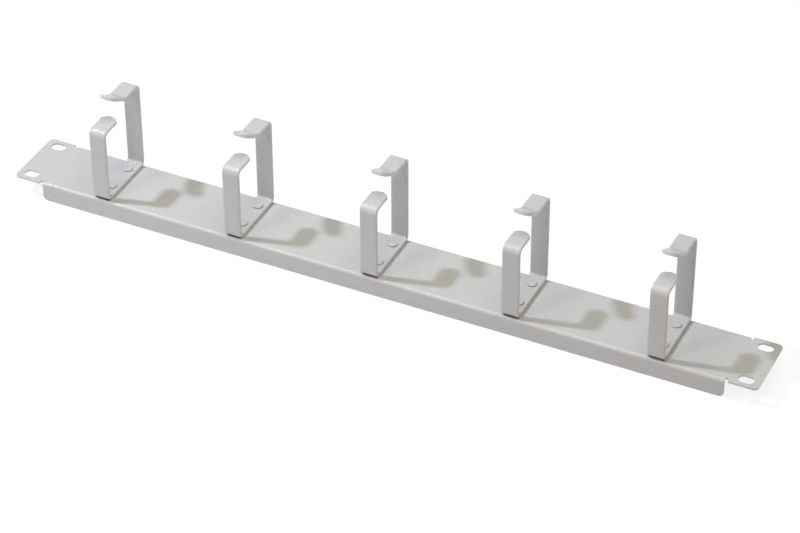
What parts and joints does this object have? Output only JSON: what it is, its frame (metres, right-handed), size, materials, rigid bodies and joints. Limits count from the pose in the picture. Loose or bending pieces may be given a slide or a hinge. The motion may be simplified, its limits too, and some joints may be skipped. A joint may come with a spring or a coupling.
{
  "type": "rack cable management panel",
  "caption": "Folded steel rack panel, one unit high, with open rings of bent strip riveted along its face to hold cable bundles.",
  "frame": {"origin": "middle of the panel, level with the free edges of the flanges it lies on", "axes": "+X along the panel's length, +Y across its height towards the taller posts, +Z out of its front face towards the rings"},
  "size_m": [0.4826, 0.044, 0.0795],
  "materials": {
    "panel_paint": "light grey powder coat, satin, fine orange peel",
    "ring_paint": "light grey powder coat, satin, fine orange peel",
    "rivet_paint": "light grey powder coat, satin, fine orange peel"
  },
  "bodies": {
    "root": {"panel": "panel_paint", "ring_1": "ring_paint", "ring_2": "ring_paint", "ring_3": "ring_paint", "ring_4": "ring_paint", "ring_5": "ring_paint", "rivet_1_front": "rivet_paint", "rivet_1_rear": "rivet_paint", "rivet_2_front": "rivet_paint", "rivet_2_rear": "rivet_paint", "rivet_3_front": "rivet_paint", "rivet_3_rear": "rivet_paint", "rivet_4_front": "rivet_paint", "rivet_4_rear": "rivet_paint", "rivet_5_front": "rivet_paint", "rivet_5_rear": "rivet_paint"}
  },
  "joints": []
}
